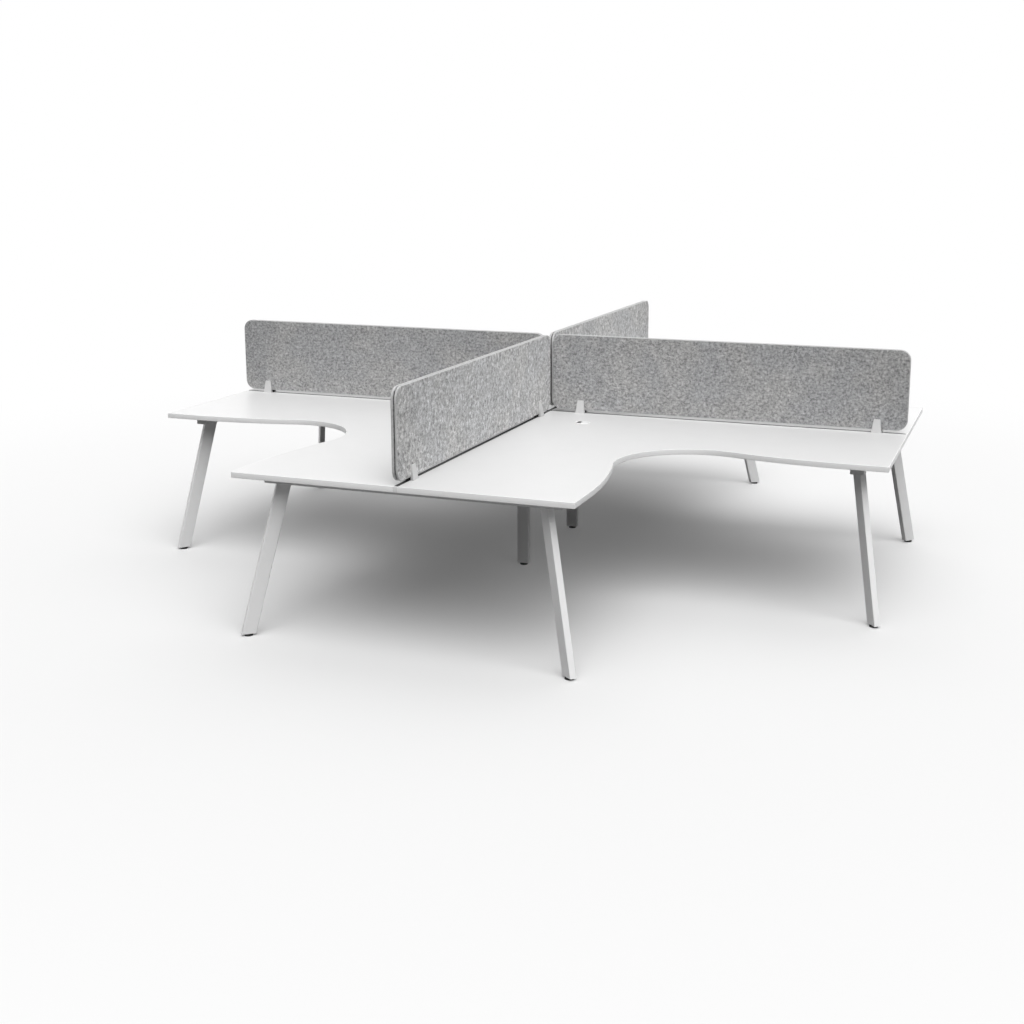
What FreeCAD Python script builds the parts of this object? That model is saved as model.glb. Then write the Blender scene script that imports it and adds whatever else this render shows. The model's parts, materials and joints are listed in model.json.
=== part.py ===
import FreeCAD, Part
import math
import os

# A corner workstation for four people: four L-shaped desk tops stand back to back round a cross of
# felt screens. Under the seams runs a cross of steel spines. Each end of the cross stands on a frame
# of one rail and two splayed legs, and two upright legs carry the middle.
# Millimetres, +Z up, origin on the floor below the middle of the cross. Angles are in degrees.

# Desk tops
TOP_HEIGHT = 725.0            # floor to the working surface
TOP_THICKNESS = 25.0
TOPS_GAP = 20.0               # between two tops that stand back to back
EDGE_BAND = 2.0               # thickness of the strip round each board
WING_LENGTH = 1800.0          # along each back edge
WING_END_DEPTH = 750.0
WING_WAIST_DEPTH = 672.0      # where the wing is narrowest, beside the inner corner
INNER_CORNER_RADIUS = 345.0
WING_END_STRAIGHT = 170.0     # straight stretch of the inner edge at the end of a wing
GAP_CAP_LENGTH = 8.0          # of the cap that closes the outer end of a gap
GAP_STRIP_DROP = 1.0          # from the working surface to the back of the black channel in a gap
GAP_STRIP_WALL = 2.0

# Cable grommets
GROMMET_FROM_BACK = 262.0     # from both back edges of a top to the middle of its grommet
GROMMET_HOLE = 66.0           # diameter of the hole through the board
GROMMET_WALL = 3.0
GROMMET_FLANGE = 78.0         # diameter of the rim that lies on the top
GROMMET_RIM_HEIGHT = 3.0
GROMMET_DEPTH = 20.0          # how far the sleeve reaches below the working surface
GROMMET_LEDGE = 4.0           # width of the ledge that carries the cap
GROMMET_LEDGE_THICKNESS = 3.0
CAP_THICKNESS = 1.5
CAP_GAP = 0.3                 # between the cap's rim and the sleeve
CAP_SKIRT_WALL = 2.0
CAP_SKIRT_CLEARANCE = 0.05
CAP_NOTCH_WIDTH = 36.0        # opening for the cables
CAP_NOTCH_DEPTH = 24.0
CAP_NOTCH_RADIUS = 4.5

# Steel tubes of the frames
TUBE_WALL = 2.0
TUBE_INSIDE_RADIUS = 1.5
RAIL_WIDTH = 60.0
RAIL_HEIGHT = 40.0
RAIL_LENGTH = 1340.0          # over the end caps
RAIL_INSET = 144.0            # from the ends of the tops to the middle of the rail
RAIL_CAP_FLANGE = 3.0
RAIL_CAP_PLUG = 12.0
LEG_WIDTH = 60.0
LEG_DEPTH = 30.0
RAIL_OVERHANG = 76.0          # from the end of a rail to the middle of its leg, at the rail's underside
LEG_SPLAY_ANGLE = 15.0        # from the vertical
LEG_TURN_ANGLE = 39.0         # from the rail's line to the way the leg leans, seen from above
CENTRE_LEG_SPACING = 750.0

# Levelling feet
FOOT_DIAMETER = 38.0
FOOT_BASE_HEIGHT = 6.0
FOOT_EDGE = 1.5
FOOT_COLLAR = 25.0            # diameter of the collar under the leg
FOOT_HEIGHT = 10.0            # floor to the end of the leg
FOOT_TRAVEL = 15.0            # how far a foot screws out
STUD_DIAMETER = 10.0
STUD_ENGAGEMENT = 20.0        # thread left in the insert at full travel
STUD_CLEARANCE = 0.05
INSERT_DEPTH = 45.0

# Screens
SCREEN_HEIGHT = 386.0
SCREEN_LIFT = 14.0            # from the working surface to the screen
SCREEN_END_INSET = 3.0        # from the ends of the tops to the outer end of a screen
SCREEN_CENTRE_GAP = 20.0      # from the middle of the cross to the inner end of a screen
SCREEN_CORNER_RADIUS = 50.0
FELT_THICKNESS = 10.0
CORE_THICKNESS = 6.0
CORE_INSET = 8.0              # from the edge of the felt to the edge of the core

# Screen clamps
CLAMP_FOOT_DEPTH = 13.0       # off the screen, at the working surface
CLAMP_TIP_DEPTH = 5.0         # off the screen, at the upper end
CLAMP_BASE_WIDTH = 50.0
CLAMP_TOP_WIDTH = 31.0
CLAMP_HEIGHT = 64.0           # above the working surface
CLAMP_CORNER_RADIUS = 3.0
CLAMP_INNER_PLACE = 175.0     # from the middle of the cross
POST_WIDTH = 44.0
POST_SIDE_CLEARANCE = 1.0     # beside the post in the gap between the tops

# Fasteners
CROSS_BOLT_DIAMETER = 5.0
BASE_SCREW_DIAMETER = 6.0
BASE_SCREW_DEPTH = 20.0
BASE_SCREW_HEAD = 12.0
BASE_SCREW_HEAD_HEIGHT = 4.0
TOP_SCREW_DIAMETER = 5.0
TOP_SCREW_DEPTH = 14.0
TOP_SCREW_HEAD = 10.0
TOP_SCREW_HEAD_HEIGHT = 3.5
TAB_THICKNESS = 4.0
TAB_WIDTH = 50.0
TAB_REACH = 40.0
FRAME_BOLT_DIAMETER = 8.0
FRAME_BOLT_HEAD = 13.0
FRAME_BOLT_HEAD_HEIGHT = 5.0
FRAME_BOLT_SPACING = 30.0
SPINE_PLUG_LENGTH = 20.0

# Places along a spine, and along half a rail, where the tops are screwed down
SPINE_TAB_SHARES = (0.30, 0.75)
RAIL_TAB_SHARE = 0.50

OVERRUN = 1.0                 # how far a cutting shape runs past the face that it cuts

# Heights and lines worked out from the sizes above
TOP_UNDERSIDE = TOP_HEIGHT - TOP_THICKNESS
RAIL_UNDERSIDE = TOP_UNDERSIDE - RAIL_HEIGHT
RAIL_MIDDLE = TOP_UNDERSIDE - RAIL_HEIGHT / 2
BACK_EDGE = TOPS_GAP / 2
TOP_END = BACK_EDGE + WING_LENGTH
RAIL_LINE = TOP_END - RAIL_INSET
SPINE_END = RAIL_LINE - RAIL_WIDTH / 2
LEG_SPACING = RAIL_LENGTH - 2 * RAIL_OVERHANG
GROMMET_PLACE = BACK_EDGE + GROMMET_FROM_BACK
SCREEN_UNDERSIDE = TOP_HEIGHT + SCREEN_LIFT
SCREEN_HALF_THICKNESS = FELT_THICKNESS + CORE_THICKNESS / 2
SCREEN_LENGTH = TOP_END - SCREEN_END_INSET - SCREEN_CENTRE_GAP

UP = FreeCAD.Vector(0, 0, 1)
ORIGIN = FreeCAD.Vector(0, 0, 0)
ALONG_X = FreeCAD.Vector(1, 0, 0)
ALONG_Y = FreeCAD.Vector(0, 1, 0)
RIGHT_ANGLE = 90.0
PARALLEL_SHARE = 0.001        # sine of the angle below which two directions count as one

# The four arms of the cross: name, turn from +X, and the names of the arm's two sides, left side first
ARMS = (
    ("right", 0, {1: "rear", -1: "front"}),
    ("rear", 90, {1: "left", -1: "right"}),
    ("left", 180, {1: "front", -1: "rear"}),
    ("front", 270, {1: "right", -1: "left"}),
)
QUARTERS = (("rear_right", 0), ("rear_left", 90), ("front_left", 180), ("front_right", 270))
SIDES = (1, -1)


def point(x, y, z=0.0):
    """A point or a direction."""
    return FreeCAD.Vector(x, y, z)


def turned(shape, angle):
    """A copy of a shape, turned about the middle of the cross."""
    copy = shape.copy()
    copy.rotate(ORIGIN, UP, angle)
    return copy


def mirrored(shape, normal):
    """A copy of a shape on the other side of an upright plane through the middle of the cross."""
    return shape.mirror(ORIGIN, normal)


def round_each_arm(shape):
    """One copy of a shape for each arm of the cross."""
    return [turned(shape, angle) for _, angle, _ in ARMS]


def group(shapes):
    """Separate solids that share one node."""
    return Part.makeCompound(shapes)


def cut_all(shape, tools):
    """A shape with a list of tools taken away from it."""
    for tool in tools:
        shape = shape.cut(tool)
    return shape


def edges_along(shape, direction):
    """Straight edges of a shape that run along a direction."""
    return [edge for edge in shape.Edges
            if edge.tangentAt(edge.FirstParameter).cross(direction).Length < PARALLEL_SHARE]


def rod(diameter, start, direction, length):
    """A round bar from a point along a direction."""
    return Part.makeCylinder(diameter / 2, length, start, direction)


def headed_rod(diameter, length, head_diameter, head_height, seat, direction):
    """A screw: its shank runs from the seat along the direction, and its head stands behind the seat."""
    shank = rod(diameter, seat, direction, length)
    head = rod(head_diameter, seat, -direction, head_height)
    return shank.fuse(head).removeSplitter()


def rounded_rectangle(length, width, radius):
    """A level rectangle with round corners, centred on the origin."""
    x = length / 2 - radius
    y = width / 2 - radius
    arcs = []
    for quarter, place in enumerate(((x, y), (-x, y), (-x, -y), (x, -y))):
        start = quarter * RIGHT_ANGLE
        arcs.append(Part.makeCircle(radius, point(*place), UP, start, start + RIGHT_ANGLE))
    edges = []
    for arc, following in zip(arcs, arcs[1:] + arcs[:1]):
        edges.append(arc)
        edges.append(Part.makeLine(arc.Vertexes[-1].Point, following.Vertexes[0].Point))
    return Part.Face(Part.Wire(edges))


def upright(face):
    """A level face tipped up, so that its width points upwards."""
    face.rotate(ORIGIN, ALONG_X, RIGHT_ANGLE)
    return face


def tube_outside(length, width):
    """Outer section of a rectangular tube."""
    return rounded_rectangle(length, width, TUBE_INSIDE_RADIUS + TUBE_WALL)


def tube_inside(length, width):
    """Hollow of a rectangular tube."""
    return rounded_rectangle(length - 2 * TUBE_WALL, width - 2 * TUBE_WALL, TUBE_INSIDE_RADIUS)


def carried(face, start, path):
    """A section carried along a straight path from a start point."""
    section = face.copy()
    section.translate(start)
    return section.extrude(path)


def top_outline(inset):
    """Outline of the top of the +X +Y quarter, drawn in by an inset, on the floor plane.

    The inner edge is a concave corner arc between two long convex arcs, each tangent to the straight
    stretch at the end of its wing.
    """
    back = BACK_EDGE + inset
    end = TOP_END - inset
    front = BACK_EDGE + WING_END_DEPTH - inset
    corner = BACK_EDGE + WING_WAIST_DEPTH + INNER_CORNER_RADIUS
    wave_start = TOP_END - WING_END_STRAIGHT
    rise = wave_start - corner
    lean = 2 * math.atan2(WING_END_DEPTH - WING_WAIST_DEPTH, rise)
    corner_radius = INNER_CORNER_RADIUS + inset
    wave_radius = rise / math.sin(lean) - corner_radius
    wave_middle_x = front - wave_radius * (1 - math.cos(lean / 2))
    wave_middle_y = wave_start - wave_radius * math.sin(lean / 2)
    meet_x = corner - corner_radius * math.cos(lean)
    meet_y = corner + corner_radius * math.sin(lean)
    diagonal = corner - corner_radius * math.cos(math.pi / 4)
    along_x = Part.makePolygon([point(front, end), point(back, end), point(back, back),
                                point(end, back), point(end, front)])
    edges = along_x.Edges
    edges.append(Part.makeLine(point(end, front), point(wave_start, front)))
    edges.append(Part.Arc(point(wave_start, front), point(wave_middle_y, wave_middle_x),
                          point(meet_y, meet_x)).toShape())
    edges.append(Part.Arc(point(meet_y, meet_x), point(diagonal, diagonal), point(meet_x, meet_y)).toShape())
    edges.append(Part.Arc(point(meet_x, meet_y), point(wave_middle_x, wave_middle_y),
                          point(front, wave_start)).toShape())
    edges.append(Part.makeLine(point(front, wave_start), point(front, end)))
    return Part.Face(Part.Wire(Part.__sortEdges__(edges)))


def slab(inset):
    """The top's outline as a board at working height."""
    return carried(top_outline(inset), point(0, 0, TOP_UNDERSIDE), UP * TOP_THICKNESS)


def desk_top():
    """Board of the +X +Y quarter, with its grommet hole and the holes of its screws."""
    hole = rod(GROMMET_HOLE, point(GROMMET_PLACE, GROMMET_PLACE, TOP_UNDERSIDE - OVERRUN), UP,
               TOP_THICKNESS + 2 * OVERRUN)
    screws = [screw for screw in all_top_screws() if screw.BoundBox.XMin > 0 and screw.BoundBox.YMin > 0]
    return cut_all(slab(EDGE_BAND), [hole] + screws)


def edge_band():
    """Strip round the board of the +X +Y quarter."""
    return slab(0).cut(slab(EDGE_BAND))


def gap_cap():
    """Cap in the outer end of the gap under the +X screen, flush with both tops."""
    corner = point(TOP_END - GAP_CAP_LENGTH, -BACK_EDGE, TOP_UNDERSIDE)
    return Part.makeBox(GAP_CAP_LENGTH, TOPS_GAP, TOP_THICKNESS, corner)


def gap_strip(start, end):
    """Channel, back upwards, in the gap under the +X screen between two distances from the middle."""
    length = end - start
    height = TOP_THICKNESS - GAP_STRIP_DROP
    width = TOPS_GAP - 2 * GAP_STRIP_WALL
    block = Part.makeBox(length, TOPS_GAP, height, point(start, -BACK_EDGE, TOP_UNDERSIDE))
    hollow = Part.makeBox(length + 2 * OVERRUN, width, height - GAP_STRIP_WALL + OVERRUN,
                          point(start - OVERRUN, -width / 2, TOP_UNDERSIDE - OVERRUN))
    return block.cut(hollow)


def arm_gap_strips():
    """The channels of the +X arm, which stand on its spine and rail between the clamp posts and the gap cap."""
    half = POST_WIDTH / 2
    starts = (BACK_EDGE, CLAMP_INNER_PLACE + half, RAIL_LINE + half)
    ends = (CLAMP_INNER_PLACE - half, RAIL_LINE - half, TOP_END - GAP_CAP_LENGTH)
    return [gap_strip(start, end) for start, end in zip(starts, ends)]


def grommet_sleeve():
    """Sleeve in the hole of the +X +Y top: a rim on the surface, a bore and a ledge for the cap."""
    middle = point(GROMMET_PLACE, GROMMET_PLACE, TOP_HEIGHT)
    bore = GROMMET_HOLE - 2 * GROMMET_WALL
    sleeve = rod(GROMMET_HOLE, middle - UP * GROMMET_DEPTH, UP, GROMMET_DEPTH)
    sleeve = sleeve.fuse(rod(GROMMET_FLANGE, middle, UP, GROMMET_RIM_HEIGHT)).removeSplitter()
    ledge_top = middle + UP * (GROMMET_RIM_HEIGHT - CAP_THICKNESS)
    ledge_low = ledge_top - UP * GROMMET_LEDGE_THICKNESS
    recess = rod(bore, ledge_top, UP, CAP_THICKNESS + OVERRUN)
    eye = rod(bore - 2 * GROMMET_LEDGE, ledge_low - UP * OVERRUN, UP, GROMMET_LEDGE_THICKNESS + 2 * OVERRUN)
    below = rod(bore, ledge_low, -UP, GROMMET_DEPTH)
    return cut_all(sleeve, [recess, eye, below])


def grommet_cap():
    """Cap that turns in the +X +Y sleeve, with a notch for cables in its rim."""
    middle = point(GROMMET_PLACE, GROMMET_PLACE, TOP_HEIGHT + GROMMET_RIM_HEIGHT)
    bore = GROMMET_HOLE - 2 * GROMMET_WALL
    disc_diameter = bore - 2 * CAP_GAP
    skirt_diameter = bore - 2 * GROMMET_LEDGE - 2 * CAP_SKIRT_CLEARANCE
    disc = rod(disc_diameter, middle, -UP, CAP_THICKNESS)
    skirt = rod(skirt_diameter, middle, -UP, CAP_THICKNESS + GROMMET_LEDGE_THICKNESS)
    hollow = rod(skirt_diameter - 2 * CAP_SKIRT_WALL, middle - UP * CAP_THICKNESS, -UP,
                 GROMMET_LEDGE_THICKNESS + OVERRUN)
    notch_bottom = CAP_THICKNESS + GROMMET_LEDGE_THICKNESS + OVERRUN
    notch = Part.makeBox(CAP_NOTCH_WIDTH, CAP_NOTCH_DEPTH + OVERRUN, notch_bottom + OVERRUN)
    notch.translate(middle + point(-CAP_NOTCH_WIDTH / 2, -disc_diameter / 2 - OVERRUN, -notch_bottom))
    inner_corners = sorted(edges_along(notch, UP), key=lambda edge: edge.CenterOfMass.y)[-2:]
    notch = notch.makeFillet(CAP_NOTCH_RADIUS, inner_corners)
    return disc.fuse(skirt).removeSplitter().cut(hollow).cut(notch)


def splay_place(side, height):
    """Centre of a splayed leg of the +X frame at a height, on the +Y or the -Y side."""
    lean = math.tan(math.radians(LEG_SPLAY_ANGLE)) * (RAIL_UNDERSIDE - height)
    turn = math.radians(LEG_TURN_ANGLE)
    x = RAIL_LINE + lean * math.sin(turn)
    y = side * (LEG_SPACING / 2 + lean * math.cos(turn))
    return point(x, y, height)


def splayed_section(section, side):
    """A section of the leaning tube, cut level and turned the way the leg of the +X frame leans."""
    level_width = LEG_WIDTH / math.cos(math.radians(LEG_SPLAY_ANGLE))
    return turned(section(level_width, LEG_DEPTH), side * (RIGHT_ANGLE - LEG_TURN_ANGLE))


def leg_tube(outside, inside, low, high):
    """A hollow leg between two points, with level ends."""
    path = high - low
    return carried(outside, low, path).cut(carried(inside, low, path))


def foot_insert(inside, low, high):
    """Plug in the lower end of a leg, with an upright thread for the foot."""
    path = high - low
    plug = carried(inside, low, path * (INSERT_DEPTH / path.z))
    thread = rod(STUD_DIAMETER + 2 * STUD_CLEARANCE, low - UP * OVERRUN, UP, INSERT_DEPTH + 2 * OVERRUN)
    return plug.cut(thread)


def levelling_foot(low):
    """Round foot with its stud, below the end of a leg."""
    radius = FOOT_DIAMETER / 2
    collar = FOOT_COLLAR / 2
    stud = STUD_DIAMETER / 2
    stud_top = FOOT_HEIGHT + FOOT_TRAVEL + STUD_ENGAGEMENT
    profile = ((0, 0), (radius - FOOT_EDGE, 0), (radius, FOOT_EDGE), (radius, FOOT_BASE_HEIGHT - FOOT_EDGE),
               (radius - FOOT_EDGE, FOOT_BASE_HEIGHT), (collar, FOOT_BASE_HEIGHT), (collar, FOOT_HEIGHT),
               (stud, FOOT_HEIGHT), (stud, stud_top), (0, stud_top), (0, 0))
    outline = Part.makePolygon([point(x, 0, z) for x, z in profile])
    foot = Part.Face(outline).revolve(ORIGIN, UP, 4 * RIGHT_ANGLE)
    foot.translate(point(low.x, low.y))
    return foot


def all_legs():
    """Each leg's name with its two sections and its two ends."""
    legs = {}
    for arm, angle, names in ARMS:
        for side in SIDES:
            ends = [turned(Part.Vertex(splay_place(side, height)), angle).Point
                    for height in (FOOT_HEIGHT, RAIL_UNDERSIDE)]
            outside = turned(splayed_section(tube_outside, side), angle)
            inside = turned(splayed_section(tube_inside, side), angle)
            legs[f"{arm}_{names[side]}"] = (outside, inside, *ends)
    for side, name in ((1, "rear"), (-1, "front")):
        place = side * CENTRE_LEG_SPACING / 2
        legs[f"centre_{name}"] = (tube_outside(LEG_WIDTH, LEG_DEPTH), tube_inside(LEG_WIDTH, LEG_DEPTH),
                                  point(0, place, FOOT_HEIGHT), point(0, place, RAIL_UNDERSIDE))
    return legs


def rail_section(section):
    """A section of the rails and spines, upright and at its height."""
    face = upright(section(RAIL_WIDTH, RAIL_HEIGHT))
    face.translate(UP * RAIL_MIDDLE)
    return face


def rail_tube(length):
    """A rail or spine along Y, centred over the origin."""
    start = point(0, -length / 2)
    path = ALONG_Y * length
    bar = carried(rail_section(tube_outside), start, path)
    return bar.cut(carried(rail_section(tube_inside), start, path))


def end_rail():
    """Rail of the +X frame, open for its clamp screw and for the bolts of the spine."""
    rail = rail_tube(RAIL_LENGTH - 2 * RAIL_CAP_FLANGE)
    rail.translate(ALONG_X * RAIL_LINE)
    return cut_all(rail, rail_bolts() + [base_screw(RAIL_LINE)])


def rail_caps():
    """End caps of the +X rail: a flat cover and a plug inside the tube."""
    start = point(RAIL_LINE, RAIL_LENGTH / 2)
    cover = carried(rail_section(tube_outside), start, -ALONG_Y * RAIL_CAP_FLANGE)
    plug = carried(rail_section(tube_inside), start - ALONG_Y * RAIL_CAP_FLANGE, -ALONG_Y * RAIL_CAP_PLUG)
    cap = cover.fuse(plug).removeSplitter()
    return [cap, mirrored(cap, ALONG_Y)]


def long_spine():
    """Spine along Y under the front and rear screens, from rail to rail."""
    screws = [turned(base_screw(CLAMP_INNER_PLACE), side * RIGHT_ANGLE) for side in SIDES]
    return cut_all(rail_tube(2 * SPINE_END), screws + centre_studs())


def side_spine():
    """Spine along +X, from the long spine to the right rail."""
    length = SPINE_END - RAIL_WIDTH / 2
    spine = turned(rail_tube(length), RIGHT_ANGLE)
    spine.translate(ALONG_X * (RAIL_WIDTH / 2 + length / 2))
    return spine.cut(base_screw(CLAMP_INNER_PLACE))


def spine_plug(end, bolts):
    """Nut block inside the end of a spine along +X, just before the end's distance from the middle."""
    block = turned(carried(rail_section(tube_inside), ORIGIN, ALONG_Y * SPINE_PLUG_LENGTH), -RIGHT_ANGLE)
    block.translate(ALONG_X * (end - SPINE_PLUG_LENGTH))
    return cut_all(block, bolts)


def rail_bolts():
    """Two bolts that join the +X rail to its spine."""
    length = RAIL_WIDTH + SPINE_PLUG_LENGTH
    bolts = []
    for side in SIDES:
        seat = point(RAIL_LINE + RAIL_WIDTH / 2, side * FRAME_BOLT_SPACING / 2, RAIL_MIDDLE)
        bolts.append(headed_rod(FRAME_BOLT_DIAMETER, length, FRAME_BOLT_HEAD, FRAME_BOLT_HEAD_HEIGHT,
                                seat, -ALONG_X))
    return bolts


def centre_studs():
    """Two studs through the long spine that hold the side spines against it."""
    reach = RAIL_WIDTH / 2 + SPINE_PLUG_LENGTH
    starts = [point(-reach, side * FRAME_BOLT_SPACING / 2, RAIL_MIDDLE) for side in SIDES]
    return [rod(FRAME_BOLT_DIAMETER, start, ALONG_X, 2 * reach) for start in starts]


def spine_tab_places():
    """Where the tabs of the +X arm stand: centre and outward direction of each, at the side of a tube."""
    places = []
    for side in SIDES:
        for share in SPINE_TAB_SHARES:
            places.append((point(share * RAIL_LINE, side * RAIL_WIDTH / 2), ALONG_Y * side))
        places.append((point(SPINE_END, side * RAIL_TAB_SHARE * RAIL_LENGTH / 2), -ALONG_X))
    return places


def tab_screw(place, outward):
    """Screw through the middle of a tab into the top."""
    seat = place + outward * (TAB_REACH / 2) + UP * (TOP_UNDERSIDE - TAB_THICKNESS)
    return headed_rod(TOP_SCREW_DIAMETER, TAB_THICKNESS + TOP_SCREW_DEPTH, TOP_SCREW_HEAD,
                      TOP_SCREW_HEAD_HEIGHT, seat, UP)


def fixing_tab(place, outward):
    """Flat tab at the side of a rail or spine, under the top that is screwed to it."""
    across = UP.cross(outward)
    corner = place - across * (TAB_WIDTH / 2) + UP * (TOP_UNDERSIDE - TAB_THICKNESS)
    outline = [corner, corner + outward * TAB_REACH, corner + outward * TAB_REACH + across * TAB_WIDTH,
               corner + across * TAB_WIDTH, corner]
    plate = Part.Face(Part.makePolygon(outline)).extrude(UP * TAB_THICKNESS)
    return plate.cut(tab_screw(place, outward))


def all_top_screws():
    """Every screw that holds a top down."""
    screws = [tab_screw(*place) for place in spine_tab_places()]
    return [turned(screw, angle) for _, angle, _ in ARMS for screw in screws]


def screen_sheet(inset, low_side, thickness):
    """A round-cornered upright sheet of the +X screen, from one distance off its middle plane."""
    sheet = upright(rounded_rectangle(SCREEN_LENGTH - 2 * inset, SCREEN_HEIGHT - 2 * inset,
                                      SCREEN_CORNER_RADIUS - inset))
    start = point(SCREEN_CENTRE_GAP + SCREEN_LENGTH / 2, low_side, SCREEN_UNDERSIDE + SCREEN_HEIGHT / 2)
    return carried(sheet, start, ALONG_Y * thickness)


def felt_panel(side):
    """One of the two felt panels of the +X screen."""
    low_side = CORE_THICKNESS / 2 if side > 0 else -SCREEN_HALF_THICKNESS
    return screen_sheet(0, low_side, FELT_THICKNESS)


def screen_core():
    """Board between the two felt panels of the +X screen."""
    return screen_sheet(CORE_INSET, -CORE_THICKNESS / 2, CORE_THICKNESS)


def clamp_plate(place):
    """Clamp on the +Y face of the +X screen, standing on the top: it tapers upwards in width and in depth."""
    base = CLAMP_BASE_WIDTH / 2
    tip = CLAMP_TOP_WIDTH / 2
    crown = TOP_HEIGHT + CLAMP_HEIGHT
    outline = [point(place - base, SCREEN_HALF_THICKNESS, TOP_HEIGHT),
               point(place + base, SCREEN_HALF_THICKNESS, TOP_HEIGHT),
               point(place + tip, SCREEN_HALF_THICKNESS, crown),
               point(place - tip, SCREEN_HALF_THICKNESS, crown)]
    plate = Part.Face(Part.makePolygon(outline + outline[:1])).extrude(ALONG_Y * CLAMP_FOOT_DEPTH)
    upper_corners = sorted(edges_along(plate, ALONG_Y), key=lambda edge: edge.CenterOfMass.z)[-2:]
    plate = plate.makeFillet(CLAMP_CORNER_RADIUS, upper_corners)
    foot_face = SCREEN_HALF_THICKNESS + CLAMP_FOOT_DEPTH
    slope = [point(place - base, foot_face, TOP_HEIGHT),
             point(place - base, foot_face + OVERRUN, crown + OVERRUN),
             point(place - base, SCREEN_HALF_THICKNESS + CLAMP_TIP_DEPTH, crown)]
    waste = Part.Face(Part.makePolygon(slope + slope[:1])).extrude(ALONG_X * CLAMP_BASE_WIDTH)
    return cut_all(plate, [waste, cross_bolt(place)])


def clamp_post(place):
    """Black post of a clamp: a stem in the gap between the tops and a head between the two plates."""
    corner = point(place - POST_WIDTH / 2, -SCREEN_HALF_THICKNESS, TOP_HEIGHT)
    head = Part.makeBox(POST_WIDTH, 2 * SCREEN_HALF_THICKNESS, SCREEN_LIFT, corner)
    stem_half = BACK_EDGE - POST_SIDE_CLEARANCE
    stem = Part.makeBox(POST_WIDTH, 2 * stem_half, TOP_THICKNESS, point(corner.x, -stem_half, TOP_UNDERSIDE))
    return cut_all(head.fuse(stem).removeSplitter(), [cross_bolt(place), base_screw(place)])


def cross_bolt(place):
    """Bolt through the post of a clamp on the +X screen, with its ends inside the two clamp plates."""
    half = SCREEN_HALF_THICKNESS + CLAMP_TIP_DEPTH
    return rod(CROSS_BOLT_DIAMETER, point(place, -half, TOP_HEIGHT + SCREEN_LIFT / 2), ALONG_Y, 2 * half)


def base_screw(place):
    """Screw inside the tube below a clamp on the +X screen, up through the tube's wall into the post."""
    return headed_rod(BASE_SCREW_DIAMETER, TUBE_WALL + BASE_SCREW_DEPTH, BASE_SCREW_HEAD,
                      BASE_SCREW_HEAD_HEIGHT, point(place, 0, TOP_UNDERSIDE - TUBE_WALL), UP)


def tops():
    """Boards, edge strips, gap caps and channels, grommet sleeves and their caps."""
    nodes = {}
    for quarter, angle in QUARTERS:
        nodes[f"desk_top_{quarter}"] = turned(desk_top(), angle)
        nodes[f"edge_band_{quarter}"] = turned(edge_band(), angle)
        nodes[f"grommet_cap_{quarter}"] = turned(grommet_cap(), angle)
    nodes["grommet_sleeves"] = group(round_each_arm(grommet_sleeve()))
    nodes["gap_end_caps"] = group(round_each_arm(gap_cap()))
    nodes["gap_strips"] = group([shape for strip in arm_gap_strips() for shape in round_each_arm(strip)])
    return nodes


def frames():
    """Rails, spines, legs, inserts and feet, with what joins them."""
    nodes = {}
    for arm, angle, _ in ARMS:
        nodes[f"end_rail_{arm}"] = turned(end_rail(), angle)
    nodes["spine_long"] = long_spine()
    nodes["spine_right"] = side_spine()
    nodes["spine_left"] = turned(side_spine(), 2 * RIGHT_ANGLE)
    inserts = []
    for name, (outside, inside, low, high) in all_legs().items():
        nodes[f"leg_{name}"] = leg_tube(outside, inside, low, high)
        nodes[f"foot_{name}"] = levelling_foot(low)
        inserts.append(foot_insert(inside, low, high))
    nodes["foot_inserts"] = group(inserts)
    nodes["rail_end_caps"] = group([turned(cap, angle) for _, angle, _ in ARMS for cap in rail_caps()])
    outer_plugs = round_each_arm(spine_plug(SPINE_END, rail_bolts()))
    centre_plug = spine_plug(RAIL_WIDTH / 2 + SPINE_PLUG_LENGTH, centre_studs())
    nodes["spine_plugs"] = group(outer_plugs + [centre_plug, turned(centre_plug, 2 * RIGHT_ANGLE)])
    bolts = [turned(bolt, angle) for _, angle, _ in ARMS for bolt in rail_bolts()]
    nodes["frame_bolts"] = group(bolts + centre_studs())
    tabs = [fixing_tab(*place) for place in spine_tab_places()]
    nodes["fixing_tabs"] = group([turned(tab, angle) for _, angle, _ in ARMS for tab in tabs])
    nodes["top_screws"] = group(all_top_screws())
    return nodes


def screens():
    """Felt panels, their cores and the clamps that hold them."""
    nodes = {}
    for arm, angle, names in ARMS:
        for side in SIDES:
            nodes[f"screen_{arm}_panel_{names[side]}"] = turned(felt_panel(side), angle)
    nodes["screen_cores"] = group(round_each_arm(screen_core()))
    places = (CLAMP_INNER_PLACE, RAIL_LINE)
    plates = []
    for plate in [clamp_plate(place) for place in places]:
        plates += round_each_arm(plate) + round_each_arm(mirrored(plate, ALONG_Y))
    nodes["clamp_plates"] = group(plates)
    makers = {"clamp_posts": [clamp_post], "clamp_bolts": [cross_bolt, base_screw]}
    for node, shapers in makers.items():
        shapes = [make(place) for make in shapers for place in places]
        nodes[node] = group([copy for shape in shapes for copy in round_each_arm(shape)])
    return nodes


os.makedirs("parts", exist_ok=True)
for node, shape in {**tops(), **frames(), **screens()}.items():
    shape.exportStep(f"parts/{node}.step")
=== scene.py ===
import json
import math

import bmesh
import bpy
import numpy as np
from mathutils import Matrix, Vector


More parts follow.
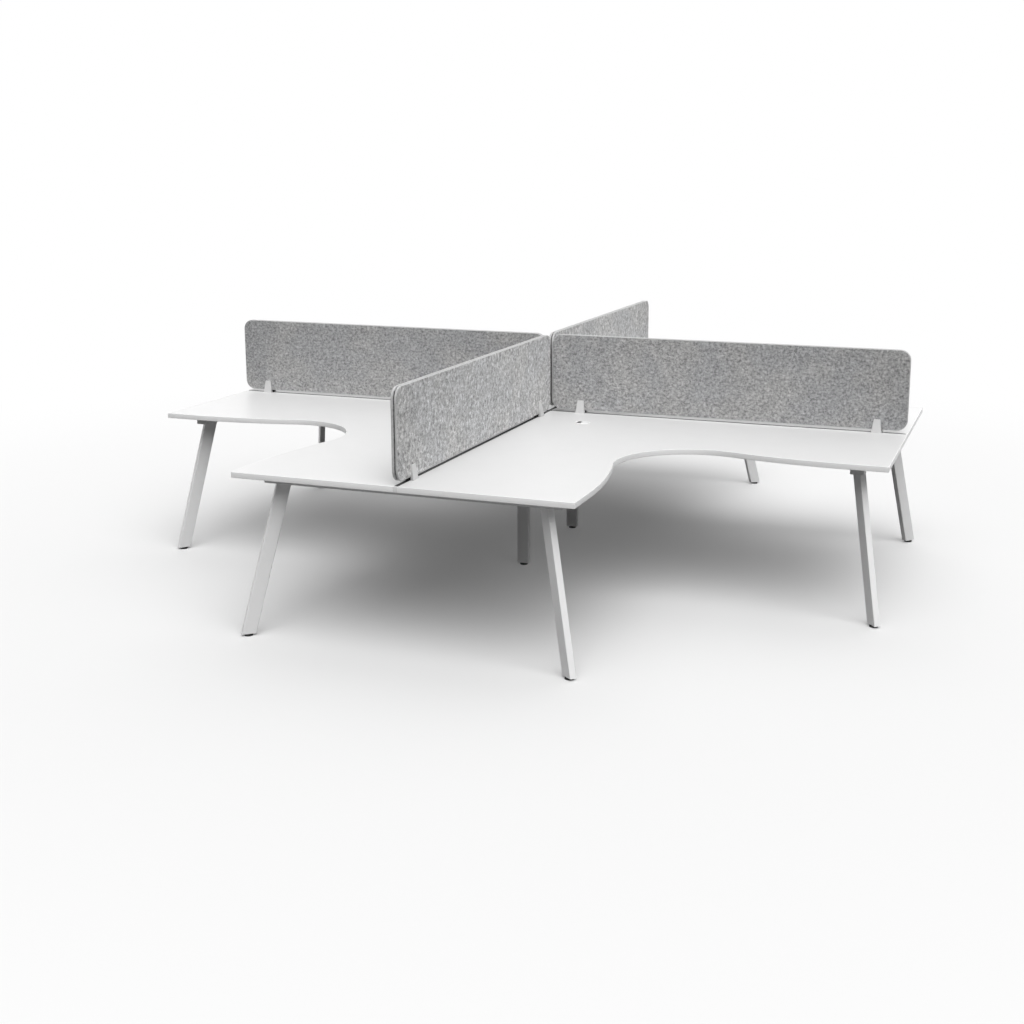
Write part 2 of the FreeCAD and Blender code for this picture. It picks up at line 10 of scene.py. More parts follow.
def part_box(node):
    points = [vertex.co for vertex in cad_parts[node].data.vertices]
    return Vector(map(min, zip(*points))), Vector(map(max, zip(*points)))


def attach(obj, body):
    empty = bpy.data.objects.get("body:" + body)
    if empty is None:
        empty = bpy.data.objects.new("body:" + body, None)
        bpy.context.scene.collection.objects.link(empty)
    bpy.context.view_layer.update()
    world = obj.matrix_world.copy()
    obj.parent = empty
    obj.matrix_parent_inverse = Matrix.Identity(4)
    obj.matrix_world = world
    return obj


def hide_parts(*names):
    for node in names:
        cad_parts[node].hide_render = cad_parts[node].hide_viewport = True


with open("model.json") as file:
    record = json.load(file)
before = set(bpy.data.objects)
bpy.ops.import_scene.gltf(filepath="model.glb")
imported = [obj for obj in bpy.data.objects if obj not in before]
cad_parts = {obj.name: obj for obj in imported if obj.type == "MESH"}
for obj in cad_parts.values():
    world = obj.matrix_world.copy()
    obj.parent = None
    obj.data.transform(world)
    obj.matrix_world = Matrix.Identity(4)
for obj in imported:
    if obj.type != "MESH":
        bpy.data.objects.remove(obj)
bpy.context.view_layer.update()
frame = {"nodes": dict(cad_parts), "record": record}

# The looks of a four-place corner workstation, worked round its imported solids. Metres, +Z up, origin
# on the floor below the middle of the cross of screens. Each new piece is a surface that is computed
# as whole arrays.

NODES = frame["nodes"]
DESK = "desk"
QUARTER_TURNS = {"rear_right": 0, "rear_left": 1, "front_left": 2, "front_right": 3}
RIGHT_ANGLE = math.pi / 2
FULL_TURN = 2 * math.pi
Z_ALONG_X = [2, 0, 1]         # order of the axes that lays an upright piece along +X

# Sizes that repeat the part's own: the tops
TOP_HEIGHT = 0.725
TOP_UNDERSIDE = 0.700
TOP_END = 1.810
BACK_EDGE = 0.010
WING_END_DEPTH = 0.750
WING_END_STRAIGHT = 0.170
WING_WAIST_DEPTH = 0.672
INNER_CORNER_RADIUS = 0.345
EDGE_BAND = 0.002
GAP_CAP_LENGTH = 0.008

# The screens and their clamps
SCREEN_HALF_THICKNESS = 0.013
SCREEN_CORNER_RADIUS = 0.050
CLAMP_INNER_PLACE = 0.175
CLAMP_BASE_WIDTH = 0.050
CLAMP_TOP_WIDTH = 0.031
CLAMP_HEIGHT = 0.064
CLAMP_FOOT_DEPTH = 0.013
CLAMP_TIP_DEPTH = 0.005
CLAMP_CORNER_RADIUS = 0.003

# The cable grommets
GROMMET_PLACE = 0.272
GROMMET_HOLE_RADIUS = 0.033
GROMMET_BORE_RADIUS = 0.030
GROMMET_EYE_RADIUS = 0.026
GROMMET_FLANGE_RADIUS = 0.039
GROMMET_RIM_HEIGHT = 0.003
GROMMET_DEPTH = 0.020
CAP_RADIUS = 0.0297
CAP_THICKNESS = 0.0015
CAP_SKIRT_RADIUS = 0.02595
CAP_SKIRT_WALL = 0.002
CAP_SKIRT_DEPTH = 0.003
CAP_NOTCH_HALF = 0.018
CAP_NOTCH_DEPTH = 0.024
CAP_NOTCH_RADIUS = 0.0045

# The frame, its legs and its screws
RAIL_LINE = 1.666
RAIL_UNDERSIDE = 0.660
RAIL_MIDDLE = 0.680
RAIL_LENGTH = 1.340
RAIL_WIDTH = 0.060
SPINE_PLUG_LENGTH = 0.020
LEG_WIDTH = 0.060
LEG_DEPTH = 0.030
LEG_SPACING = 1.188
LEG_SPLAY_ANGLE = math.radians(15.0)
LEG_TURN_ANGLE = math.radians(39.0)
TUBE_CORNER_RADIUS = 0.0035
CENTRE_LEG_SPACING = 0.750
TAB_THICKNESS = 0.004
TAB_REACH = 0.040
SPINE_TAB_SHARES = (0.30, 0.75)
RAIL_TAB_SHARE = 0.50
FRAME_BOLT_RADIUS = 0.004
FRAME_BOLT_HEAD_RADIUS = 0.0065
FRAME_BOLT_HEAD_HEIGHT = 0.005
FRAME_BOLT_SPACING = 0.030
TAB_SCREW_RADIUS = 0.0025
TAB_SCREW_DEPTH = 0.014
TAB_SCREW_HEAD_RADIUS = 0.005
TAB_SCREW_HEAD_HEIGHT = 0.0035

# The levelling feet
FOOT_RADIUS = 0.019
FOOT_BASE_HEIGHT = 0.006
FOOT_COLLAR_RADIUS = 0.0125
FOOT_HEIGHT = 0.010
STUD_RADIUS = 0.005
STUD_TOP = 0.045

# Softness and detail that the solids leave out
STRIP_EDGE_RADIUS = 0.0013
CLAMP_EDGE_RADIUS = 0.0009
CLAMP_LEAST_RADIUS = 0.0004   # of a clamp's upper corners, however far its outline is drawn in
GAP_CAP_EDGE_RADIUS = 0.0008
CAP_EDGE_RADIUS = 0.0006
CAP_SKIRT_EDGE_RADIUS = 0.0003
CAP_SKIRT_OVERLAP = 0.0005    # how far the skirt goes up into the cap
FRAME_STUD_EDGE_RADIUS = 0.0003
FRAME_BOLT_SOCKET = 0.0025    # half of a hexagon socket's width
TAB_SCREW_SOCKET = 0.0016
WELD_RADIUS = 0.0026
WELD_OVERLAP = 0.0006         # how far a bead goes into the leg's wall
WELD_RIPPLE = 0.10            # share by which a bead swells and thins
WELD_RIPPLE_POINTS = 3.0      # points of the leg's outline in one ripple
THREAD_PITCH = 0.0015
THREAD_DEPTH = 0.0007
COLLAR_RIBS = 24
COLLAR_RIB_DEPTH = 0.018      # as a share of the collar's radius
FOOT_OVERLAP = 0.001          # how far collar and stud go down into what carries them
STUD_BEVEL = 0.001
# Corner radii of turned sections, in the order of their points
FOOT_BASE_SOFTNESS = (0.0002, 0.0012, 0.0018, 0.0002)
FOOT_COLLAR_SOFTNESS = (0.0002, 0.0003, 0.0007, 0.0002)
SLEEVE_SOFTNESS = (0.0002, 0.0003, 0.0020, 0.0006, 0.0002,
                   0.0004, 0.0004, 0.0002, 0.0005, 0.0005)

# Felt. A pair of values holds for the side screens, and for the front and rear ones
FELT_EDGE_RADIUS = 0.0026
FELT_RING_START = 0.004       # distance from the rounded edge to the first ring of a face
FELT_WAVE = 0.0004            # how far the faces rise and fall
FELT_WAVE_FADE = 0.030        # distance from the edge at which the waves are full
FELT_CUT_WIDTH = 0.002        # distance over which the cut edge gives way to the face
FELT_CUT_SHARE = 0.8          # how much of a paler colour the cut edge shows
FELT_COARSE = 0.72            # fewer fibres to the metre on the front and rear screens
FELT_CONTRASTS = (0.95, 1.22)  # between light and dark fibre
# Painted light: the same felt is made darker on the side screens and lighter on the front and rear
# screens, for how the light and sheen fall on their faces
FELT_PAINTED_LIGHTNESSES = (0.88, 1.14)
FELT_APART = 3.7              # moves each panel to another stretch of the roll
FELT_COOL = (0.395, 0.398, 0.406, 1.0)
FELT_WARM = (0.434, 0.431, 0.428, 1.0)
FELT_STRAND_LEVEL = 0.14
FELT_HAIR_LEVEL = 0.70
FELT_CUT_LEVEL = 0.62

# How surfaces are put together
MERGE_DISTANCE = 1e-6
LEAST_EDGE = 1e-7
SUPPORT_REACH = 1.4           # place of the point beyond a rounded corner, times its radius
CLOUD_BAND = (0.3, 0.7)       # most of a cloud pattern lies between these levels


def turned(points, quarters):
    """Points turned about +Z by a number of right angles: (x, y) goes to (-y, x) once for each."""
    out = np.array(points, float)
    for _ in range(quarters % 4):
        out = np.stack([-out[..., 1], out[..., 0], out[..., 2]], axis=-1)
    return out


def four_turns(points):
    """Points at each of the four quarters of the cluster."""
    return [turned(points, quarters) for quarters in range(4)]


def arc(centre, radius, start, end, count):
    """Points of a circle's arc in the plane: centre + radius (cos a, sin a), with a even from start to
    end."""
    angle = np.linspace(start, end, count)
    x, y = centre[0] + radius * np.cos(angle), centre[1] + radius * np.sin(angle)
    return np.stack([x, y], axis=-1)


def round_rectangle(half, radius, corner_points, side_points):
    """Outline of a rectangle with round corners, anticlockwise: four arcs joined by straight stretches.
    The half size and the numbers of points between the arcs are given along x and along y."""
    rows = []
    for quarter, (x, y) in enumerate(((1, 1), (-1, 1), (-1, -1), (1, -1))):
        start = quarter * RIGHT_ANGLE
        corner = arc((half - radius) * (x, y), radius, start, start + RIGHT_ANGLE, corner_points)
        axis = quarter % 2
        step = np.array([0.0, -y] if axis else [-x, 0.0])
        share = np.linspace(0, 1, side_points[axis] + 2)[1:-1, None]
        rows += [corner, corner[-1] + share * step * (2 * (half[axis] - radius))]
    return np.concatenate(rows)


def grid_quads(rows, columns, closed_rows, first):
    """Corner numbers of the quads between neighbouring points of a grid whose rows are rings, row by
    row, counted from a first number."""
    number = np.arange(rows * columns).reshape(rows, columns) + first
    number = np.concatenate([number, number[:, :1]], axis=1)
    if closed_rows:
        number = np.concatenate([number, number[:1]], axis=0)
    corners = (number[:-1, :-1], number[:-1, 1:], number[1:, 1:], number[1:, :-1])
    return np.stack(corners, axis=-1).reshape(-1, 4)


def join_grids(grids, closed_rows=False, flat_ends=False):
    """Several grids of points as one list of points and one list of faces. Each row is a ring. With flat
    ends, the first and the last row of each grid bound a face of their own."""
    points, faces, first = [], [], 0
    for grid in grids:
        rows, columns = grid.shape[:2]
        points.append(grid.reshape(-1, 3))
        faces += grid_quads(rows, columns, closed_rows, first).tolist()
        if flat_ends:
            last = first + (rows - 1) * columns
            faces += [list(range(first, first + columns)), list(range(last, last + columns))]
        first += rows * columns
    return np.concatenate(points), faces


def make_piece(name, points, faces, slot, body=DESK, replaced=(), marks=None):
    """A mesh object from arrays: doubles merged, faces turned outwards, shaded smooth, riding on a body.
    Marks are vectors by name, one for each point, which the finish reads."""
    mesh = bpy.data.meshes.new(name)
    mesh.from_pydata(points.tolist(), [], faces)
    for mark, vectors in (marks or {}).items():
        layer = mesh.attributes.new(mark, "FLOAT_VECTOR", "POINT")
        layer.data.foreach_set("vector", vectors.ravel())
    work = bmesh.new()
    work.from_mesh(mesh)
    bmesh.ops.remove_doubles(work, verts=work.verts, dist=MERGE_DISTANCE)
    bmesh.ops.dissolve_degenerate(work, edges=work.edges, dist=LEAST_EDGE)
    bmesh.ops.recalc_face_normals(work, faces=work.faces)
    work.to_mesh(mesh)
    work.free()
    mesh.polygons.foreach_set("use_smooth", np.ones(len(mesh.polygons), bool))
    mesh.materials.append(FINISHES[slot])
    piece = bpy.data.objects.new(name, mesh)
    bpy.context.scene.collection.objects.link(piece)
    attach(piece, body)
    if replaced:
        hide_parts(*replaced)
    return piece


def rounded_arris(thickness, radius, steps, support):
    """Profile across a sheet's edge as (inset from the outline, depth): a quarter round at each face,
    and a support line just inside it that keeps the flat face flat."""
    angle = np.linspace(0, RIGHT_ANGLE, steps)
    inset = radius * (1 - np.sin(angle))
    depth = radius * (1 - np.cos(angle))
    low = np.stack([inset, depth], axis=-1)
    low = np.concatenate([[[radius + support, 0.0]], low])
    high = low[::-1] * [1, -1] + [0, thickness]
    return np.concatenate([low, high])


def softened(corners, radii, steps=5):
    """A closed outline with its corners rounded: each corner C gives way to the curve
    (1-t)^2 A + 2 t (1-t) C + t^2 B between the points A and B at the corner's radius from it along both
    sides, with one more point just outside A and B that keeps the sides straight."""
    corners = np.array(corners, float)
    radii = np.broadcast_to(radii, len(corners))[:, None]
    before = np.roll(corners, 1, axis=0) - corners
    after = np.roll(corners, -1, axis=0) - corners
    before /= np.linalg.norm(before, axis=1, keepdims=True)
    after /= np.linalg.norm(after, axis=1, keepdims=True)
    t = np.linspace(0, 1, steps)[None, :, None]
    start, end = (corners + before * radii)[:, None], (corners + after * radii)[:, None]
    curve = (1 - t) ** 2 * start + 2 * t * (1 - t) * corners[:, None] + t ** 2 * end
    outer_start = (corners + before * radii * SUPPORT_REACH)[:, None]
    outer_end = (corners + after * radii * SUPPORT_REACH)[:, None]
    outline = np.concatenate([outer_start, curve, outer_end], axis=1)
    return outline.reshape(-1, corners.shape[1])


def turned_section(section, columns):
    """A section of (radius, height) points carried round the z axis: (r cos a, r sin a, z)."""
    angle = np.linspace(0, FULL_TURN, columns, endpoint=False)[None]
    r, z = section[:, :1], section[:, 1:]
    return np.stack([r * np.cos(angle), r * np.sin(angle), z + 0 * angle], axis=-1)


def outward(outline):
    """Level directions that point out of a closed outline that runs anticlockwise."""
    tangent = np.roll(outline, -1, axis=0) - np.roll(outline, 1, axis=0)
    tangent /= np.linalg.norm(tangent, axis=1, keepdims=True)
    return np.stack([tangent[:, 1], -tangent[:, 0]], axis=-1)


def lifted(rings, heights):
    """Flat rings of points, each set at a height of its own."""
    levels = np.broadcast_to(heights[:, None, None], (*rings.shape[:2], 1))
    return np.concatenate([rings, levels], axis=-1)


def softened_plate(outline, low, high, radius):
    """A plate with rounded edges: the edge profile carried round the outline, each ring moved in along
    the outline's own directions, as a grid whose first and last rows bound the two flat faces."""
    profile = rounded_arris(high - low, radius, steps=5, support=radius * 0.4)
    inwards = -outward(outline)
    rings = outline[None] + profile[:, :1, None] * inwards[None]
    return lifted(rings, low + profile[:, 1])


# Finishes


class Finish:
    """A node material under way: constants sit on the shader's own sockets, and patterns read Object
    coordinates or a piece's own marks."""

    def __init__(self, name, colour, roughness, metallic=0.0, specular=0.5):
        self.material = bpy.data.materials.new(name)
        self.material.use_nodes = True
        self.tree = self.material.node_tree
        self.shader = self.tree.nodes["Principled BSDF"]
        self.shader.inputs["Base Color"].default_value = (*colour, 1.0)
        self.shader.inputs["Roughness"].default_value = roughness
        self.shader.inputs["Metallic"].default_value = metallic
        self.shader.inputs["Specular IOR Level"].default_value = specular
        self.place = self.tree.nodes.new("ShaderNodeTexCoord").outputs["Object"]

    def mark(self, name):
        """A piece's own vectors by name."""
        node = self.tree.nodes.new("ShaderNodeAttribute")
        node.attribute_name = name
        return node.outputs["Vector"]

    def put(self, socket, value):
        """Joins a socket to another node's output, or sets its value."""
        if isinstance(value, bpy.types.NodeSocket):
            self.tree.links.new(value, socket)
        else:
            socket.default_value = value

    def stretched(self, scale):
        """The pattern's coordinates stretched by a scale for each axis."""
        mapping = self.tree.nodes.new("ShaderNodeMapping")
        self.put(mapping.inputs["Vector"], self.place)
        mapping.inputs["Scale"].default_value = scale
        return mapping.outputs["Vector"]

    def noise(self, scale, detail=2.0, roughness=0.5, distortion=0.0, place=None):
        """A cloud pattern with a number of lumps per metre."""
        node = self.tree.nodes.new("ShaderNodeTexNoise")
        self.put(node.inputs["Vector"], place or self.place)
        node.inputs["Scale"].default_value = scale
        node.inputs["Detail"].default_value = detail
        node.inputs["Roughness"].default_value = roughness
        node.inputs["Distortion"].default_value = distortion
        return node.outputs["Fac"]

    def ranged(self, value, source, target):
        """A value carried smoothly from one range to another and held at its ends."""
        node = self.tree.nodes.new("ShaderNodeMapRange")
        node.interpolation_type = "SMOOTHSTEP"
        for socket, number in zip(node.inputs, (value, *source, *target)):
            self.put(socket, number)
        return node.outputs["Result"]

    def worked(self, operation, *values):
        """A sum, product or other working of values."""
        node = self.tree.nodes.new("ShaderNodeMath")
        node.operation = operation
        for socket, value in zip(node.inputs, values):
            self.put(socket, value)
        return node.outputs["Value"]

    def mixed(self, share, low, high, blend="MIX"):
        """Two colours mixed by a share that varies over the surface."""
        node = self.tree.nodes.new("ShaderNodeMix")
        node.data_type = "RGBA"
        node.blend_type = blend
        for name, value in (("Factor_Float", share), ("A_Color", low), ("B_Color", high)):
            socket = next(entry for entry in node.inputs if entry.identifier == name)
            self.put(socket, value)
        return next(entry for entry in node.outputs if entry.identifier == "Result_Color")

    def colour(self, value):
        """Sets the pattern of the base colour."""
        self.put(self.shader.inputs["Base Color"], value)

    def gloss(self, value):
        """Sets the pattern of the roughness."""
        self.put(self.shader.inputs["Roughness"], value)

    def relief(self, height, depth, strength=1.0):
        """Bump from a height pattern, with the depth in metres."""
        node = self.tree.nodes.new("ShaderNodeBump")
        node.inputs["Strength"].default_value = strength
        node.inputs["Distance"].default_value = depth
        self.put(node.inputs["Height"], height)
        self.put(self.shader.inputs["Normal"], node.outputs["Normal"])


def grey(level, warm=0.0):
    """A grey, a little warmer in red and cooler in blue."""
    return (level + warm, level, level - warm)


def rgba(level, warm=0.0):
    """A grey with full opacity."""
    return (*grey(level, warm), 1.0)


def coated_white(name, level, roughness, grain, depth, cloud=9.0, specular=0.5):
    """White coat: faint clouds in its whiteness, a gloss that varies a little, and a fine orange peel."""
    finish = Finish(name, grey(level), roughness, specular=specular)
    spread = 0.012
    clouds = finish.noise(cloud, detail=3.0)
    finish.colour(finish.mixed(clouds, rgba(level - spread), rgba(level + spread, warm=0.001)))
    peel = finish.noise(grain)
    finish.gloss(finish.ranged(peel, CLOUD_BAND, (roughness - 0.05, roughness + 0.06)))
    finish.relief(peel, depth)
    return finish.material


def felt_finish():
    """Pressed grey felt: tufts and clumps of lighter and darker fibre, drawn out along the roll and
    across it, over a ground whose tint drifts from cool to warm, with dark strands, pale hairs and a
    paler cut edge."""
    finish = Finish("grey_felt", grey(0.43), 0.95, specular=0.12)
    finish.shader.inputs["Sheen Weight"].default_value = 0.4
    finish.shader.inputs["Sheen Roughness"].default_value = 0.6
    finish.place = finish.mark("felt_place")

    def line(pattern, level, width, strength):
        """Thin lines along which a pattern passes through a level."""
        distance = finish.worked("ABSOLUTE", finish.worked("SUBTRACT", pattern, level))
        return finish.ranged(distance, (0.0, width), (strength, 0.0))

    edge = finish.tree.nodes.new("ShaderNodeSeparateXYZ")
    finish.put(edge.inputs["Vector"], finish.mark("felt_edge"))
    cut, contrast, painted_lightness = edge.outputs
    drift = finish.ranged(finish.noise(4.5), (0.38, 0.62), (0.0, 1.0))
    clump = finish.noise(26.0, roughness=0.55, distortion=0.6)
    tuft = finish.noise(100.0, detail=4.0, roughness=0.62, distortion=0.4,
                        place=finish.stretched((0.66, 1.0, 1.0)))
    cross = finish.noise(112.0, detail=3.0, roughness=0.60, distortion=0.4,
                         place=finish.stretched((1.0, 0.70, 1.0)))
    strand = finish.noise(130.0, roughness=0.6, distortion=1.2,
                          place=finish.stretched((0.62, 1.0, 1.0)))
    hair = finish.noise(420.0, roughness=0.55, distortion=2.6)

    fibre = finish.worked("ADD", finish.ranged(tuft, (0.28, 0.72), (-0.42, 0.42)),
                          finish.ranged(cross, (0.28, 0.72), (-0.34, 0.34)))
    clumps = finish.ranged(clump, (0.32, 0.68), (0.91, 1.09))
    level = finish.worked("MULTIPLY_ADD", fibre, contrast, clumps)
    ground = finish.mixed(drift, FELT_COOL, FELT_WARM)
    # Painted light: the ground is scaled by each panel's painted lightness, darker on the side screens
    # and lighter on the front and rear ones
    ground = finish.mixed(1.0, ground, finish.worked("MULTIPLY", level, painted_lightness), blend="MULTIPLY")
    strands = finish.worked("MULTIPLY", line(strand, 0.42, 0.040, 0.8), contrast)
    ground = finish.mixed(strands, ground, rgba(FELT_STRAND_LEVEL))
    ground = finish.mixed(line(hair, 0.55, 0.04, 0.5), ground, rgba(FELT_HAIR_LEVEL))
    finish.colour(finish.mixed(cut, ground, rgba(FELT_CUT_LEVEL)))
    pile = finish.worked("ADD", finish.worked("ADD", tuft, hair), strand)
    finish.relief(pile, depth=0.0012, strength=0.7)
    return finish.material


def plated_steel(name):
    """Zinc plated steel: a grey metal with fine drawn lines and cloudy gloss."""
    finish = Finish(name, grey(0.55), 0.35, metallic=1.0)
    lines = finish.noise(900.0, detail=3.0, place=finish.stretched((1.0, 1.0, 0.06)))
    finish.colour(finish.mixed(lines, (0.47, 0.47, 0.49, 1.0), (0.64, 0.63, 0.61, 1.0)))
    finish.gloss(finish.ranged(lines, CLOUD_BAND, (0.26, 0.44)))
    finish.relief(lines, depth=0.00006)
    return finish.material


def moulded_black(name, level, roughness):
    """Black plastic, and the near-black sheet and coat that paint shade on the screens' core and the
    spines, with an eroded grain and a few paler scuffs.
    """
    finish = Finish(name, grey(level), roughness, specular=0.4)
    grain = finish.noise(1400.0)
    scuffs = finish.noise(60.0, detail=5.0, distortion=1.5)
    scuffs = finish.ranged(scuffs, (0.58, 0.75), (0.0, 1.0))
    finish.colour(finish.mixed(scuffs, rgba(level), rgba(level * 1.9)))
    finish.gloss(finish.ranged(grain, CLOUD_BAND, (roughness - 0.08, roughness + 0.08)))
    finish.relief(grain, depth=0.00012)
    return finish.material


# White coats: whiteness, roughness, grains to the metre and their depth. Dark ones: level, roughness
FINISHES = {
    "white_laminate": coated_white("white_laminate", 0.715, 0.42, 1700.0, 0.00004, specular=0.4),
    "edge_strip": coated_white("edge_strip", 0.96, 0.32, 1300.0, 0.00006, cloud=25.0, specular=1.0),
    "white_steel": coated_white("white_steel", 0.95, 0.36, 800.0, 0.00020, cloud=14.0, specular=0.9),
    "white_plastic": coated_white("white_plastic", 0.85, 0.38, 1500.0, 0.00010, cloud=30.0),
    "white_clamp": coated_white("white_clamp", 0.66, 0.36, 1200.0, 0.00010, cloud=40.0),
    "grey_felt": felt_finish(),
    # Painted shade: the screens' recessed core is made near black for the shade in the gap between their
    # two felt panels
    "core_board": moulded_black("core_board", 0.045, 0.7),
    # Painted shade: the spines under the gaps between the tops are made black for the shade down in those
    # gaps
    "dark_steel": moulded_black("dark_steel", 0.035, 0.45),
    "black_plastic": moulded_black("black_plastic", 0.010, 0.6),
    "bare_steel": plated_steel("bare_steel"),
}

for subpart in frame["record"]["subparts"]:
    materials = NODES[subpart["node"]].data.materials
    materials.clear()
    materials.append(FINISHES[subpart["material_slot"]])


# Felt screens


def screen_outline(length, height, inset):
    """Outline of a round-cornered sheet, drawn in by an inset: four arcs joined by straight stretches.

    The corner radius shrinks with the inset and then stays at zero, so at half the height the outline
    folds flat onto the middle line of the sheet.
    """
    half = np.array([length / 2 - inset, max(height / 2 - inset, 0.0)])
    radius = max(SCREEN_CORNER_RADIUS - inset, 0.0)
    return round_rectangle(half, radius, corner_points=10, side_points=(120, 16))


def felt_sheet(length, height, thickness):
    """Felt panel as a grid: the rounded edge profile carried round the outline, and rings that close in
    on the middle line of both faces. The faces rise and fall by FELT_WAVE times the mean of three sines
    of different directions and lengths, which fade out towards the edge with the inset. The second grid
    is the share of cut edge, which falls to zero with the inset."""
    edge = rounded_arris(thickness, FELT_EDGE_RADIUS, steps=5, support=0.0006)
    inner = np.linspace(FELT_EDGE_RADIUS + FELT_RING_START, height / 2, 22)
    low = np.stack([inner[::-1], np.zeros_like(inner)], axis=-1)
    high = np.stack([inner, np.full_like(inner, thickness)], axis=-1)
    profile = np.concatenate([low, edge, high])
    inset, depth = profile[:, :1], profile[:, 1:]
    rings = np.stack([screen_outline(length, height, each) for each in inset[:, 0]])
    x, y = rings[..., 0], rings[..., 1]
    wave = (np.sin(17.0 * x + 5.0 * y) + np.sin(31.0 * x - 23.0 * y + 1.0)
            + np.sin(9.0 * x + 41.0 * y + 2.0))
    fade = np.clip((inset - FELT_EDGE_RADIUS) / FELT_WAVE_FADE, 0.0, 1.0)
    cut = np.clip(1.0 - (inset - FELT_EDGE_RADIUS / 2) / FELT_CUT_WIDTH, 0.0, 1.0)
    grid = np.stack([x, y, depth + FELT_WAVE / 3 * fade * wave], axis=-1)
    return grid, FELT_CUT_SHARE * cut + 0 * x


def screen_panels():
    """The eight felt panels, each set into the box of its solid. The roll runs level on the side
    screens, and upright on the front and rear ones, whose felt has coarser fibre."""
    names = [name for name in NODES if name.startswith("screen_") and "_panel_" in name]
    for number, name in enumerate(names):
        low, high = (np.array(corner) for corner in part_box(name))
        middle, size = (low + high) / 2, high - low
        along = int(size[1] > size[0])
        across = 1 - along
        grid, cut = felt_sheet(size[along], size[2], size[across])
        place = np.zeros_like(grid)
        place[..., along] = middle[along] + grid[..., 0]
        place[..., 2] = middle[2] + grid[..., 1]
        place[..., across] = low[across] + grid[..., 2]
        roll = grid[..., [1, 0, 2]] * FELT_COARSE if along else grid
        contrast = np.full_like(cut, FELT_CONTRASTS[along])
        # Painted light: each panel carries a lightness for how the light falls on its faces
        painted_lightness = np.full_like(cut, FELT_PAINTED_LIGHTNESSES[along])
        edge = np.stack([cut, contrast, painted_lightness], axis=-1)
        marks = {"felt_place": roll + number * FELT_APART, "felt_edge": edge}
        panel = name.removeprefix("screen_")
        make_piece(f"felt_{panel}", *join_grids([place]), "grey_felt", replaced=[name], marks=marks)


# Edge strips


def top_outline(inset):
    """Outline of the +X +Y top drawn in by an inset: small round corners, straight stretches, and the
    inner edge of one concave arc between two long convex arcs, each tangent to its neighbours."""
    back, end = BACK_EDGE + inset, TOP_END - inset
    front = BACK_EDGE + WING_END_DEPTH - inset
    corner = BACK_EDGE + WING_WAIST_DEPTH + INNER_CORNER_RADIUS
    wave_start = TOP_END - WING_END_STRAIGHT
    rise = wave_start - corner
    lean = 2 * math.atan2(WING_END_DEPTH - WING_WAIST_DEPTH, rise)
    corner_radius = INNER_CORNER_RADIUS + inset
    wave_radius = rise / math.sin(lean) - corner_radius
    round_radius = max(EDGE_BAND - inset, 0.0)

    def rounded(x, y, start):
        """A small outward corner."""
        middle = start + RIGHT_ANGLE / 2
        side = np.array([math.copysign(1, math.cos(middle)), math.copysign(1, math.sin(middle))])
        centre = np.array([x, y]) - side * round_radius
        return arc(centre, round_radius, start, start + RIGHT_ANGLE, count=5)

    wave = arc((wave_start, front - wave_radius), wave_radius, RIGHT_ANGLE, RIGHT_ANGLE + lean, count=40)
    hollow = arc((corner, corner), corner_radius, lean - RIGHT_ANGLE, -math.pi - lean, count=60)
    return np.concatenate([
        rounded(back, back, 2 * RIGHT_ANGLE), rounded(end, back, 3 * RIGHT_ANGLE),
        rounded(end, front, 0.0), wave, hollow[1:-1], wave[::-1, ::-1],
        rounded(front, end, 0.0), rounded(back, end, RIGHT_ANGLE),
    ])


def edge_strips():
    """The strip round each top: a flat strip with softened outer edges, carried round the outline."""
    thickness = TOP_HEIGHT - TOP_UNDERSIDE
    outer = rounded_arris(thickness, STRIP_EDGE_RADIUS, steps=5, support=0.0002)
    profile = np.concatenate([[[EDGE_BAND, 0.0]], outer, [[EDGE_BAND, thickness]]])
    rings = np.stack([top_outline(inset) for inset in profile[:, 0]])
    grid = lifted(rings, TOP_UNDERSIDE + profile[:, 1])
    for quarter, quarters in QUARTER_TURNS.items():
        strip = join_grids([turned(grid, quarters)], closed_rows=True)
        make_piece(f"edge_strip_{quarter}", *strip, "edge_strip", replaced=[f"edge_band_{quarter}"])


# Screen clamps


def clamp_outline(inset):
    """Outline of a clamp plate drawn in by an inset: a tapered plate with two rounded upper corners."""
    base, tip = CLAMP_BASE_WIDTH / 2 - inset, CLAMP_TOP_WIDTH / 2 - inset
    crown = CLAMP_HEIGHT - inset
    radius = max(CLAMP_CORNER_RADIUS - inset, CLAMP_LEAST_RADIUS)
    taper = math.atan2(base - tip, crown)
    right = arc((tip - radius, crown - radius), radius, taper * 0.5, RIGHT_ANGLE, count=7)
    left = right[::-1] * [-1, 1]
    return np.concatenate([[[base, inset]], right, left, [[-base, inset]]])


